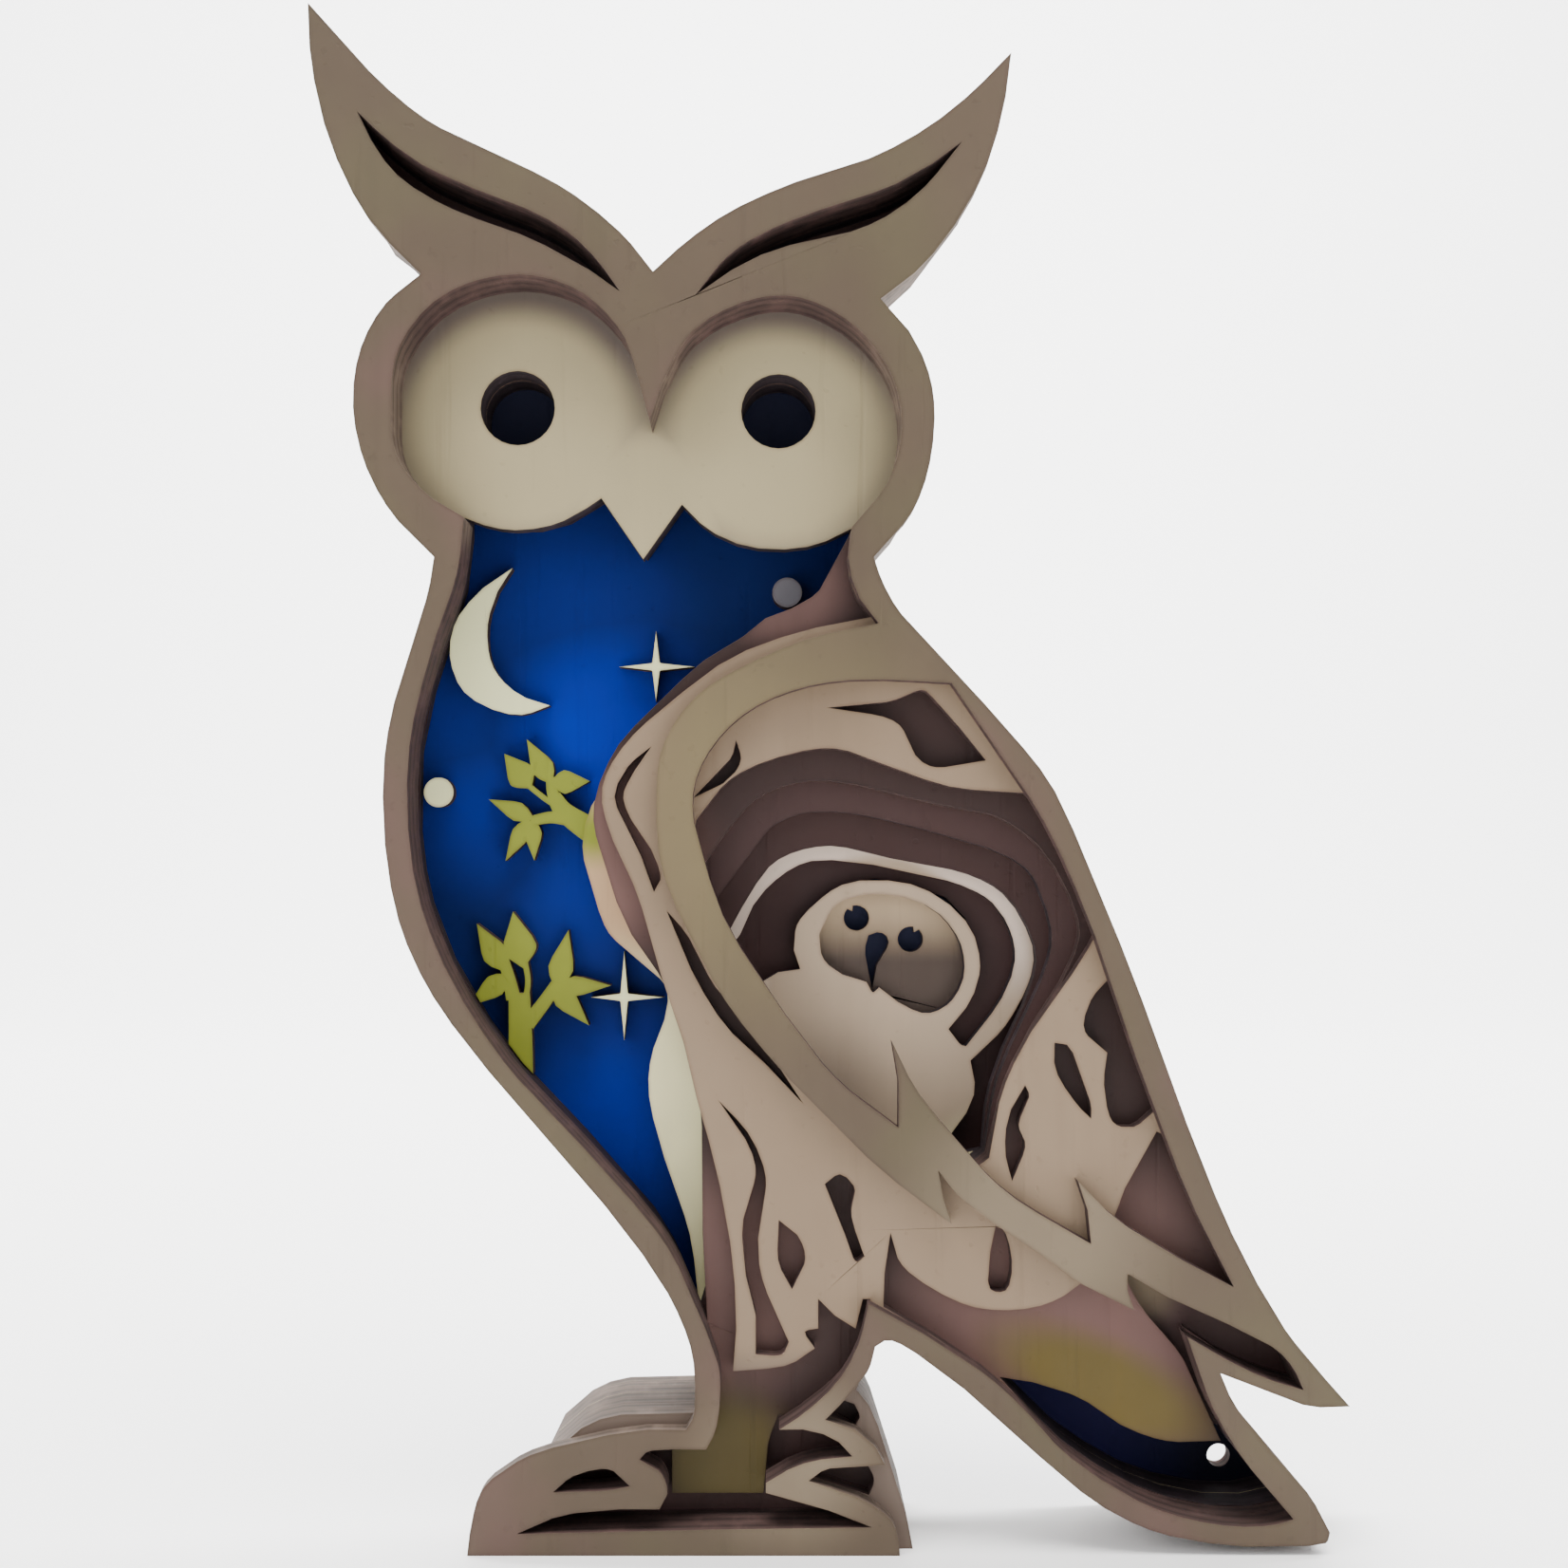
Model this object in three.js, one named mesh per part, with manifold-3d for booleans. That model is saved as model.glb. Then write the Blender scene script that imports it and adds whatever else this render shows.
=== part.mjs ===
// A standing owl ornament: eight flat plywood sheets, cut to outline and glued face to face.
// Each sheet opens a little further back than the one before it, so the chest becomes a night sky
// and the wing a hollow tree with an owlet inside. Millimetres, +Z up, the owl looks along -Y.
// The origin is under the middle of the ornament, on the surface that it stands on.
import * as THREE from 'three';
import { mergeVertices } from 'three/addons/utils/BufferGeometryUtils.js';
import Module from 'manifold-3d';

const wasm = await Module();
wasm.setup();

// ---- Driving dimensions ----
const SHEET = 3;                  // thickness of one plywood sheet
const SHEETS = 8;                 // sheets in the stack
const FRONT = -SHEET * SHEETS / 2; // y of the front face
const FINE = 0.11;                // how far a facet may leave a curve that shows
const COARSE = 0.3;               // the same for the curves of the sheets behind the front
const CIRCLE_SIDES = 28;          // facets of a round hole
const FIT = 0.3;                  // gap round a piece let into a sheet
const EAR_STEP = 2;               // how far the rear sheets stand back under the ears
const RECESS = 1.5;               // how far the rear sheets stand back from the front sheet's inner edge

const PUPIL = 5.75;               // radius of the pupil holes
const LEFT_EYE = [-48, 175];
const RIGHT_EYE = [-7.5, 174.5];
const CABLE_HOLE = { at: [63.7, 8.6], radius: 1.85 };

const STALK = 0.9;                // width of the thinnest leaf stalks
const STAR_WAIST = 0.62;          // how far out a star's arms part from each other
const EYE_HOLE = 2;               // radius of the owlet's eyes

// ---- Finishes: colour, roughness ----
const FINISH = {
  tan: [0x96806d, 0.8],
  bark: [0xa39680, 0.8],
  brown: [0x56393a, 0.8],
  mauve: [0x6e5055, 0.8],
  umber: [0x4a3030, 0.8],
  cream: [0xd2cba8, 0.75],
  olive: [0xa9a832, 0.75],
  blue: [0x06309a, 0.55],
};

// ---- Outlines ----
// An outline is a list of runs. A run of two points is a straight line, and a longer run is one
// smooth curve through its points. Each run starts where the last one ends, at a corner.

function farthest(points, first, last) {
  const line = new THREE.Line3(points[first], points[last]);
  const foot = new THREE.Vector3();
  let best = { distance: 0, index: -1 };
  for (let i = first + 1; i < last; i++) {
    line.closestPointToPoint(points[i], true, foot);
    const distance = foot.distanceTo(points[i]);
    if (distance > best.distance) best = { distance, index: i };
  }
  return best;
}

function thinned(points, first, last, sagitta) {
  const { distance, index } = farthest(points, first, last);
  if (distance < sagitta) return [points[first]];
  return [...thinned(points, first, index, sagitta), ...thinned(points, index, last, sagitta)];
}

function traced(runs, sagitta) {
  const corners = runs.flatMap((run) => {
    const through = run.map(([x, z]) => new THREE.Vector3(x, z, 0));
    if (through.length === 2) return [through[0]];
    const curve = new THREE.CatmullRomCurve3(through, false, 'centripetal');
    const fine = curve.getPoints(12 * (through.length - 1));
    return thinned(fine, 0, fine.length - 1, sagitta);
  });
  return corners.map((point) => new THREE.Vector2(point.x, point.y));
}
const outline = (...runs) => traced(runs, FINE);
const hidden = (...runs) => traced(runs, COARSE);

const reversed = (run) => [...run].reverse();
const moved = (run, dx, dz) => run.map(([x, z]) => [x + dx, z + dz]);

// The outline of a closed shape, moved outwards by a distance.
function grown(points, distance) {
  const outward = THREE.ShapeUtils.isClockWise(points) ? -distance : distance;
  return points.map((point, i) => {
    const before = points[(i + points.length - 1) % points.length];
    const after = points[(i + 1) % points.length];
    const along = after.clone().sub(before).normalize();
    return new THREE.Vector2(point.x + along.y * outward, point.y - along.x * outward);
  });
}

const circle = ([x, z], radius) => new THREE.Path()
  .absarc(x, z, radius, 0, 2 * Math.PI)
  .getSpacedPoints(CIRCLE_SIDES)
  .slice(0, -1);

// A leaf from its stalk to its tip, fullest near the stalk and drawn out to a narrow point.
function leaf([x0, z0], [x1, z1], width) {
  const length = Math.hypot(x1 - x0, z1 - z0);
  const beside = (along, off) => [
    x0 + along * (x1 - x0) - off * width * (z1 - z0) / length,
    z0 + along * (z1 - z0) + off * width * (x1 - x0) / length,
  ];
  const edge = (side) => [[x0, z0], beside(0.34, 0.5 * side), beside(0.7, 0.27 * side), [x1, z1]];
  return outline(edge(1), reversed(edge(-1)));
}

// A star with four straight-sided arms of different lengths.
function star({ at: [x, z], up, down, left, right }) {
  const corners = [[0, up], [STAR_WAIST, STAR_WAIST], [right, 0], [STAR_WAIST, -STAR_WAIST],
    [0, -down], [-STAR_WAIST, -STAR_WAIST], [-left, 0], [-STAR_WAIST, STAR_WAIST]];
  return corners.map(([dx, dz]) => new THREE.Vector2(x + dx, z + dz));
}

// A strip along a curve, tapering from one width to another.
function stem(along, from, to) {
  const curve = new THREE.SplineCurve(along.map(([x, z]) => new THREE.Vector2(x, z)));
  const steps = 4 * (along.length - 1);
  const edge = (s) => Array.from({ length: steps + 1 }, (_, i) => {
    const half = THREE.MathUtils.lerp(from, to, i / steps) / 2;
    const tangent = curve.getTangent(i / steps);
    const point = curve.getPoint(i / steps);
    return new THREE.Vector2(point.x - s * tangent.y * half, point.y + s * tangent.x * half);
  });
  return [...edge(1), ...edge(-1).reverse()];
}

// ---- The silhouette ----
const EAR_TIP_LEFT = [-78.5, 234];
const EAR_TIP_RIGHT = [27.5, 226.5];
const BROW_NOTCH = [-26.5, 193.5];
const CROTCH = [7, 31.5];
const ANKLE = [-21.5, 19];
const REAR_ANKLE = [-20.4, 20.7];

// The sheets behind the front stand back a little under the ears, by this much.
const crownAndBack = (back) => [
  [EAR_TIP_LEFT, [-74, 229], [-67.5, 222], [-60, 216], [-50.5, 211.5], [-39, 205.5], [-31, 199], BROW_NOTCH],
  [BROW_NOTCH, [-21.5, 198], [-15, 202.5], [-5, 207], [6, 210.5], [14.5, 215], [21, 220], EAR_TIP_RIGHT],
  [EAR_TIP_RIGHT, [26.4 - back / 4, 218.5], [23.7 - back / 2, 209.2 + back / 3],
    [19 - back, 200.5 + back / 2], [13.8 - 1.25 * back, 194.1 + back / 2], [7.8 - back, 189.4 + back / 2]],
  [[7.8 - back, 189.4 + back / 2], [12.8, 183.5], [15.7, 175.5], [15.4, 165.5], [12.7 - back / 2, 157.5],
    [6.8 - back / 2, 150.5]],
  [[6.8 - back / 2, 150.5], [8, 147], [10.5, 142.5], [18, 134.3], [26.2, 125.3], [33.5, 116.2], [39.9, 102],
    [46, 87], [54, 65], [61.5, 47], [69.5, 33], [78.5, 22.5]],
  [[78.5, 22.5], [72.5, 22.5], [66, 24.8], [59, 27.5]],
  [[59, 27.5], [61, 23], [66, 16.5], [72.5, 9], [75.5, 3.5]],
  [[75.5, 3.5], [75, 2], [72.5, 1.5]],
  [[72.5, 1.5], [61, 1.5], [49.5, 3.5], [41, 7.5], [34, 13], [25, 21], [18, 27], [9, 32.5], CROTCH],
];

const breastAndEar = (back, ankle) => [
  [...ankle, [-20.2, 27], [-21, 32], [-24.7, 40.3], [-33.8, 52.8], [-43.8, 64.3], [-54.6, 77.1], [-60.5, 85.7],
    [-64.4, 94.3], [-66.4, 103], [-67.2, 113], [-66.9, 121], [-65.5, 128.6], [-62.9, 137.1], [-60.4, 145.2],
    [-59.5, 150.5]],
  [[-59.5, 150.5], [-65.8, 157], [-69.9, 164.5], [-71.7, 173], [-70.7, 181.5], [-67.1, 188.3],
    [-61.5 + back, 193.1 + back / 2]],
  [[-61.5 + back, 193.1 + back / 2], [-66.9 + back, 198.5 + back / 2], [-70.9 + back / 3, 203.8], [-75.5, 214],
    [-78, 225], EAR_TIP_LEFT],
];

// The front sheet ends in toes, and the sheets behind it in one rounded foot.
const TOES = [
  [CROTCH, [6, 28], [4, 25.5], [1.5, 22.5], [-0.5, 20.5]],
  [[-0.5, 20.5], [1, 20], [4, 19], [7, 16.5]],
  [[7, 16.5], [8.5, 13.7]],
  [[8.5, 13.7], [4, 13.4], [-0.5, 13], [-3, 11.3]],
  [[-3, 11.3], [1, 10], [5, 8.5], [9.3, 5.5], [10.5, 2.5], [10.7, 0]],
  [[10.7, 0], [-54.5, 0]],
  [[-54.5, 0], [-54, 4], [-52.2, 10], [-47, 14.2], [-42, 16.2], [-35, 17.9], [-28, 19], ANKLE],
];
const FOOT = [
  [CROTCH, [5.8, 28], [4.3, 24.2]],
  [[4.3, 24.2], [6, 22.2], [7.1, 20], [8.1, 17.2], [9.1, 13.5], [10.6, 9.2], [12.1, 4.5], [12.9, 0]],
  [[12.9, 0], [-52, 0]],
  [[-52, 0], [-50.5, 3], [-46.5, 6.8], [-44, 10.2], [-42.7, 13.6], [-39.9, 16.6], [-35.8, 19.3], [-31, 20.5],
    REAR_ANKLE],
];
const FRONT_SILHOUETTE = outline(...crownAndBack(0), ...TOES, ...breastAndEar(0, [ANKLE, [-20.4, 21]]));
const REAR_SILHOUETTE = hidden(...crownAndBack(EAR_STEP), ...FOOT, ...breastAndEar(EAR_STEP, [REAR_ANKLE]));

// ---- Edges that several sheets share ----
const FACE_POINT = [-27, 171];
const CHEEK_LEFT = [-55, 156.5];
const CHEEK_RIGHT = [3.5, 155];
const SOCKETS = [
  [CHEEK_LEFT, [-60, 159.5], [-65, 165.5], [-66, 173], [-65, 181.5], [-60, 188.5], [-53.5, 192],
    [-45.5, 193], [-37.5, 190.5], [-31, 184], [-28.5, 176.5], FACE_POINT],
  [FACE_POINT, [-25, 177], [-20.5, 184.5], [-12.5, 189], [-5, 189.7], [3, 186], [9, 179], [11, 170.5],
    [9, 162], CHEEK_RIGHT],
];
const BREAST = [[-18.5, 34], [-24.3, 46.5], [-35.6, 60], [-49, 74.5], [-57.5, 88], [-62, 100], [-63.5, 112.5],
  [-62.9, 124], [-59.5, 137.5], [-56, 148], CHEEK_LEFT];
const SHIN = [[-18.5, 16], [-17.2, 18.5], [-16.5, 22], [-16.5, 28], [-18.5, 34]];

const BROW_LEFT = outline(
  [[-71, 217.5], [-67.5, 214.2], [-62, 210], [-53.5, 206], [-45, 202.7], [-39, 199.2], [-35, 195.3],
    [-31.5, 190.5]],
  [[-31.5, 190.5], [-36, 193.7], [-45, 198.5], [-53.5, 201.6], [-59, 204], [-65, 208], [-68.5, 212.5],
    [-71, 217.5]],
);
const BROW_RIGHT = outline(
  [[20, 213], [16, 210], [9.5, 206.4], [-2, 202.5], [-9, 199.7], [-15, 196], [-20, 190]],
  [[-20, 190], [-13.5, 194.4], [-7.5, 197], [4, 199.7], [9.5, 202.3], [14.5, 206.3], [20, 213]],
);

const SLOT_TOP = [[45, 42.5], [51, 39], [61, 34.5], [67.5, 31], [70, 28.2], [71.5, 25]];
const SLOT_FOOT = [[71.5, 25], [66.5, 26.5], [61, 29], [54, 33]];
const TAIL_RIGHT = [[54, 33], [55.5, 28.5], [58, 22], [62.5, 14.5], [70, 5.5]];
const TAIL_UNDER = [[70, 5.5], [66.5, 4.6], [59.5, 4.6], [49.5, 7], [41, 11.5], [35, 16], [29.5, 22], [24, 27]];

const TOE_RIGHT = [
  [[-7.5, 19], [-3.5, 19], [1, 17.5], [3.5, 15]],
  [[3.5, 15], [-2, 14.4], [-5.5, 13.3], [-9.5, 11]],
  [[-9.5, 11], [-9.5, 9.5]],
  [[-9.5, 9.5], [-5, 8.3], [1, 6.5], [6.5, 4.3]],
];
const TOE_LEFT = [
  [[6.5, 4.3], [-17.5, 4], [-39, 3.5], [-47, 3.3]],
  [[-47, 3.3], [-40.5, 6], [-32, 7], [-25.5, 7]],
  [[-25.5, 7], [-24.3, 9.5], [-25.3, 12.5], [-28.5, 14.5]],
  [[-28.5, 14.5], [-27.5, 15.6], [-25, 16], [-18.5, 16]],
];
const TOE_SLOT = outline(
  [[-41.5, 9.6], [-38.5, 12], [-33, 13], [-30, 10.5]],
  [[-30, 10.5], [-32.5, 10], [-38, 9.6], [-41.5, 9.6]],
);

// ---- Sheet 1: front frame ----
const WING_BAND = [[7.5, 140.5], [-2, 138.5], [-12, 134.5], [-20, 129.5], [-25, 122], [-26, 113], [-25, 103],
  [-21, 93.5], [-15.5, 83.5], [-7.5, 73.5], [-0.5, 66.3], [8, 58], [18.5, 50]];
const FRONT_OPENING = outline(
  ...SOCKETS,
  [CHEEK_RIGHT, [3, 149.5], [4.5, 144.5], [7.5, 140.5]],
  WING_BAND,
  [[18.5, 50], [17.2, 54], [16.5, 58]],
  [[16.5, 58], [19.5, 54.3], [25, 50], [31, 46], [38, 41], [46, 37]],
  [[46, 37], [45, 40], [45, 42.5]],
  SLOT_TOP,
  SLOT_FOOT,
  TAIL_RIGHT,
  [...TAIL_UNDER, [15, 33], [6, 38]],
  [[6, 38], [4.5, 32], [1.5, 26.5], [-3.5, 21.7], [-7.5, 19]],
  ...TOE_RIGHT,
  ...TOE_LEFT,
  SHIN,
  BREAST,
);
const WING_WINDOW = outline(
  [[18.5, 131.5], [4, 132], [-5, 130.5], [-12.5, 127], [-17.5, 122], [-20, 117], [-20.5, 112], [-19, 105.5],
    [-16, 96.5], [-10, 86.5], [1, 72], [10.5, 64.5]],
  [[10.5, 64.5], [10.5, 71.5], [9.5, 77.5]],
  [[9.5, 77.5], [13, 70.5], [18.5, 63.5], [26.5, 55], [39.5, 47]],
  [[39.5, 47], [39, 52], [37.5, 56.5]],
  [[37.5, 56.5], [43, 51], [52.5, 45], [61, 40.5]],
  [[61, 40.5], [54.5, 53.5], [47, 73], [39.5, 95], [32.5, 110.5], [24, 123.5], [18.5, 131.5]],
);

// ---- Sheet 2: tree trunk with its bark slits ----
const TRUNK_LEFT = [[6.5, 141.8], [-4.5, 139.5], [-15, 135.5], [-25, 128], [-30, 123.5], [-33.5, 118.5],
  [-34.5, 114.5], [-33, 108.5], [-29, 99.5], [-25.5, 87.5], [-22, 77], [-20, 68.5], [-18, 61.5], [-16, 53],
  [-14.5, 43.5], [-14, 33.5], [-14.5, 27]];
const TRUNK_OPENING = outline(
  ...SOCKETS,
  [CHEEK_RIGHT, [3, 149.5], [4.5, 144.5], [6.5, 141.8]],
  TRUNK_LEFT,
  [[-14.5, 27], [-6, 28], [-2, 30.5]],
  [[-2, 30.5], [-3.5, 33], [-1.5, 33.5]],
  [[-1.5, 33.5], [-1.5, 38]],
  [[-1.5, 38], [1, 35.5], [4.2, 33.5]],
  [[4.2, 33.5], [5.3, 38]],
  [[5.3, 38], [6.4, 38]],
  [[6.4, 38], [5.5, 33], [2, 26.5], [-3.5, 21.7], [-7.5, 19]],
  ...TOE_RIGHT,
  ...TOE_LEFT,
  SHIN,
  BREAST,
);
const TRUNK_TAIL = outline(
  [[8.4, 36.8], [8.6, 42], [9.5, 48]],
  [[9.5, 48], [11, 43.5], [16, 39.5], [22.5, 36.7], [30, 36.5], [35, 38], [40, 41.5]],
  [[40, 41.5], [45, 42.5]],
  SLOT_TOP,
  SLOT_FOOT,
  TAIL_RIGHT,
  [...TAIL_UNDER, [15, 33], [8.4, 36.8]],
);
const HOLLOW_FOOT = [[24.5, 59.5], [21, 57.5], [9.5, 62], [-1, 71], [-12, 85.5], [-18, 95.5]];
const TRUNK_HOLLOW = outline(
  [[-20, 111], [-15, 117], [-7.5, 120.5], [1, 121.8], [9.5, 119], [18.5, 116], [30, 115]],
  [[30, 115], [34.5, 110], [38.5, 101], [41, 94]],
  [[41, 94], [40, 92], [35.5, 85], [30.5, 78], [26.5, 69.5], [24.5, 59.5]],
  HOLLOW_FOOT,
  [[-18, 95.5], [-21, 105.5], [-20, 111]],
);
const BARK_CUTS = [
  outline( // large hole in the arch
    [[0, 128], [9.5, 129], [14.5, 130.7], [16, 129.5]],
    [[16, 129.5], [20, 125], [24, 120]],
    [[24, 120], [16, 119], [13.5, 120.5], [10.5, 125.7], [0, 128]],
  ),
  outline( // curl at the arch's left end
    [[-14, 123], [-13.3, 120], [-15.3, 117], [-20.5, 114.3]],
    [[-20.5, 114.3], [-16.5, 118.5], [-14.7, 120.5], [-14, 123]],
  ),
  outline( // bent slit on the shoulder
    [[-27, 122], [-30.5, 119], [-32.5, 114.5], [-30.5, 109.5], [-28.5, 105.5], [-26.5, 100]],
    [[-26.5, 100], [-25.5, 102], [-26.7, 106], [-30, 111], [-31.2, 114.5], [-30, 117.5], [-27, 122]],
  ),
  outline( // long slit beside the wing band
    [[-24.5, 97], [-21.5, 93.5], [-17.5, 86], [-13.5, 81], [-8.5, 75], [-4, 68]],
    [[-4, 68], [-9.5, 73.8], [-15.5, 79.5], [-20.5, 87.5], [-24.5, 97]],
  ),
  outline( // long slit down the trunk
    [[-16.5, 68], [-12, 63], [-9.5, 56.5], [-10.7, 46.5], [-10, 41], [-6, 31.5]],
    [[-6, 31.5], [-7, 29.6], [-11, 29.6]],
    [[-11, 29.6], [-11, 35.5], [-12.5, 41.5], [-13, 49.5], [-11, 57.5], [-12.3, 61.8], [-16.5, 68]],
  ),
  outline( // oval knot
    [[-7.5, 50], [-4.5, 47.5], [-3.5, 44], [-5.5, 39.5]],
    [[-5.5, 39.5], [-7.5, 43.5], [-7.5, 50]],
  ),
  outline( // key-shaped knot
    [[-0.5, 55.5], [1.8, 57], [4, 55], [3.5, 51], [5.5, 44.5]],
    [[5.5, 44.5], [4.3, 43.7], [2.5, 48], [-0.5, 55.5]],
  ),
  outline( // drop-shaped knot
    [[25.5, 49], [26.7, 48.5], [28, 43], [27, 39.3], [24.7, 39.5], [24.6, 44.5], [25.5, 49]],
  ),
  outline( // upper slit on the right trunk
    [[34.5, 77], [36.5, 76.6], [38.5, 72], [40, 67.5], [40, 65.5]],
    [[40, 65.5], [38, 67.5], [34.6, 73], [34.5, 77]],
  ),
  outline( // lower slit on the right trunk
    [[30, 70.5], [30.6, 69], [29, 64.5], [30, 61.5], [28, 56]],
    [[28, 56], [27, 60], [27.5, 66], [30, 70.5]],
  ),
  outline( // notch behind the wing's rear edge
    [[42.5, 86.5], [40, 83.5], [39, 79], [42.5, 75.5]],
    [[42.5, 75.5], [42, 70.5], [43.5, 64.8], [46.5, 64.2], [49.5, 66.5]],
    [[49.5, 66.5], [50.5, 68], [47.5, 76], [44.2, 86.5]],
    [[44.2, 86.5], [42.5, 86.5]],
  ),
  outline( // gap below the right trunk
    [[50, 63.5], [48, 60], [45, 54.5], [43.2, 49.5]],
    [[43.2, 49.5], [52, 43.7], [62.5, 39]],
    [[62.5, 39], [56, 53.5], [52, 62.5]],
    [[52, 62.5], [50, 63.5]],
  ),
  outline( // between the ankle and the upper toe
    [[-0.5, 20.5], [2, 22.5], [4, 22]],
    [[4, 22], [4.8, 20], [4, 18.5]],
    [[4, 18.5], [1, 20], [-0.5, 20.5]],
  ),
  outline( // between the two right toes
    [[-3, 11.3], [-0.5, 13], [4, 13.4], [6, 12.8]],
    [[6, 12.8], [7, 10.5], [6.2, 8.2]],
    [[6.2, 8.2], [1, 10], [-3, 11.3]],
  ),
];

// ---- Sheet 3: brown wood, mossy at the leg and the tail ----
const WOOD_OPENING = outline(
  ...SOCKETS,
  [CHEEK_RIGHT, [1, 150.5], [-1.5, 146], [-5.5, 143.5]],
  [[-5.5, 143.5], [-9.5, 142], [-12.5, 139.5], [-19, 135.5], [-26.5, 128.5], [-32.5, 122], [-36, 112.5],
    [-34, 103], [-30.5, 94], [-25.2, 86], [-20.6, 74], [-19.4, 65], [-19.2, 47.5], [-18.5, 34]],
  BREAST,
);
const WOOD_TAIL = outline(
  SLOT_TOP,
  SLOT_FOOT,
  moved(TAIL_RIGHT, 0.8, 0),
  [[70.8, 5.5], ...TAIL_UNDER.slice(1, -1), [26.5, 25.3]],
  [[26.5, 25.3], [32, 24.4], [39, 22], [45, 18], [52, 15.5], [60.5, 15.5]],
  [[60.5, 15.5], [58, 21], [54.5, 28.5], [48, 36.5], [45, 42.5]],
);
const WOOD_FOOT = outline(
  [[-23.9, 17], [-30, 15.5], [-38, 12], [-43, 7.5], [-47, 3.3]],
  [[-47, 3.3], [-39, 3.5], [-17.5, 4], [6.5, 4.3]],
  [[6.5, 4.3], [1, 7.5], [-1.5, 11], [3.5, 15]],
  [[3.5, 15], [1, 17.5], [-3.5, 19], [-7.5, 19.5]],
  [[-7.5, 19.5], [-9, 15.5], [-9.8, 7.5]],
  [[-9.8, 7.5], [-23.9, 7.5]],
  [[-23.9, 7.5], [-23.9, 17]],
);
const WOOD_HOLLOW = outline(
  [[-19, 104], [-16, 108.5], [-10.5, 114.5], [-3, 117], [4, 116.5], [10, 115], [18.5, 113], [26, 111.5],
    [32.5, 107], [37, 100], [38.8, 93.5], [36, 86], [31.5, 79], [27.3, 70], [24.5, 59.5]],
  HOLLOW_FOOT,
  [[-18, 95.5], [-20.5, 101], [-19, 104]],
);

// ---- Sheets 4 to 7: the rest of the hollow, and the frame round it ----
const FACE_EDGE = [
  [[-56.5, 158], [-52.5, 156.6], [-48, 156], [-42, 157], [-37.5, 159.3], [-35, 161]],
  [[-35, 161], [-28.5, 151.5]],
  [[-28.5, 151.5], [-22.5, 160]],
  [[-22.5, 160], [-18.5, 156.2], [-13.5, 153.8], [-7.5, 153], [-1.5, 153.8], [4, 156.3]],
];
const FACE_PLATE = outline(
  ...FACE_EDGE,
  [[4, 156.3], [10, 162], [12.7, 170.5], [10.7, 180], [4.5, 188.5], [-5, 192], [-14, 191.5], [-22, 187.5],
    [-27.5, 185.5], [-32, 188.5], [-38, 193], [-45.5, 195.3], [-54.5, 194.2], [-62, 189.7], [-67, 182],
    [-68, 173], [-66.5, 165], [-62, 159.8], [-56.5, 158]],
);
const REAR_BREAST = moved(BREAST, -RECESS, 0);
const rearChest = (right, trace = hidden) => trace(
  [[-20, 34], ...right],
  ...FACE_EDGE.map((run) => moved(run, 0, RECESS)).toReversed().map(reversed),
  [[-56.5, 158 + RECESS], [-56.5, 156.5]],
  reversed(REAR_BREAST),
);
const NECK_RIGHT = [[-30, 120.5], [-24, 127], [-17, 133.5], [-11, 137.5], [-4, 141.5], [0.5, 144.5],
  [3, 150], [4, 156.3 + RECESS]];
const RING_CHEST = rearChest([[-16.5, 47.5], [-16.5, 63.5], [-17.5, 73.5], [-21.5, 85], [-27.5, 94], [-32, 103],
  [-34, 112.5], ...NECK_RIGHT]);
const KNOBBLY_TRUNK = [[-21.5, 45.5], [-25.5, 57.5], [-28, 68], [-27.5, 74], [-25.5, 79.5], [-25.2, 84.5],
  [-31, 90], [-34.5, 93.5], [-37, 100.5], [-38.5, 107], [-36.5, 114.5]];
const OWLET_CHEST = rearChest([...KNOBBLY_TRUNK, ...NECK_RIGHT], outline);
const BACK_CHEST = rearChest([...moved(KNOBBLY_TRUNK, 2, 0), ...NECK_RIGHT]);

const REAR_TAIL = hidden(
  [[60.8, 17.2], [62.5, 14.5], [70, 5.5]],
  TAIL_UNDER,
  [[24, 27], [32.5, 26.3], [39.7, 23.8], [45.7, 19.8], [52, 17.4], [60.8, 17.2]],
);
const RING_2_HOLLOW = outline(
  [[-17, 99], [-14, 103], [-11, 107], [-8.5, 110], [-4, 112], [1.5, 112.3], [7, 111.5], [19, 108.5],
    [25.5, 106.5], [31, 103.5], [33.7, 98.5], [35, 92.5], [33.5, 86.5], [30, 79], [26.3, 70], [24.5, 59.5]],
  HOLLOW_FOOT,
  [[-18, 95.5], [-17, 99]],
);
const RING_3_HOLLOW = outline(
  [[-15, 94], [-12.5, 98.5], [-8, 104.5], [0, 107], [10.5, 105], [22.5, 102.5], [28, 99.5], [31.5, 94.5],
    [33, 89.5], [31, 82], [27.5, 74.5], [25.2, 67], [24.5, 59.5]],
  HOLLOW_FOOT,
  [[-18, 95.5], [-15, 94]],
);

// ---- Sheet 6: the owlet in its rim ----
const RIM_OPENING = outline(
  [[-13.5, 93], [-10.5, 99], [-3.5, 104.3], [4.5, 104.5], [13.5, 102.7], [21, 101], [26.5, 98], [29.5, 93],
    [30, 88.5], [28, 83], [22.3, 75.3]],
  [[22.3, 75.3], [21.5, 75.5], [19.5, 78]],
  [[19.5, 78], [23, 82.5], [24.5, 87.5], [23.5, 93], [20.5, 97], [15, 100.5], [9, 101.6], [3, 101],
    [-1.5, 98], [-4.5, 94.5], [-5, 90.5]],
  [[-5, 90.5], [-4, 87.5]],
  [[-4, 87.5], [-7.5, 87], [-10, 85.5]],
  [[-10, 85.5], [-13, 86.5], [-15, 90.5], [-13.5, 93]],
);
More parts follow.
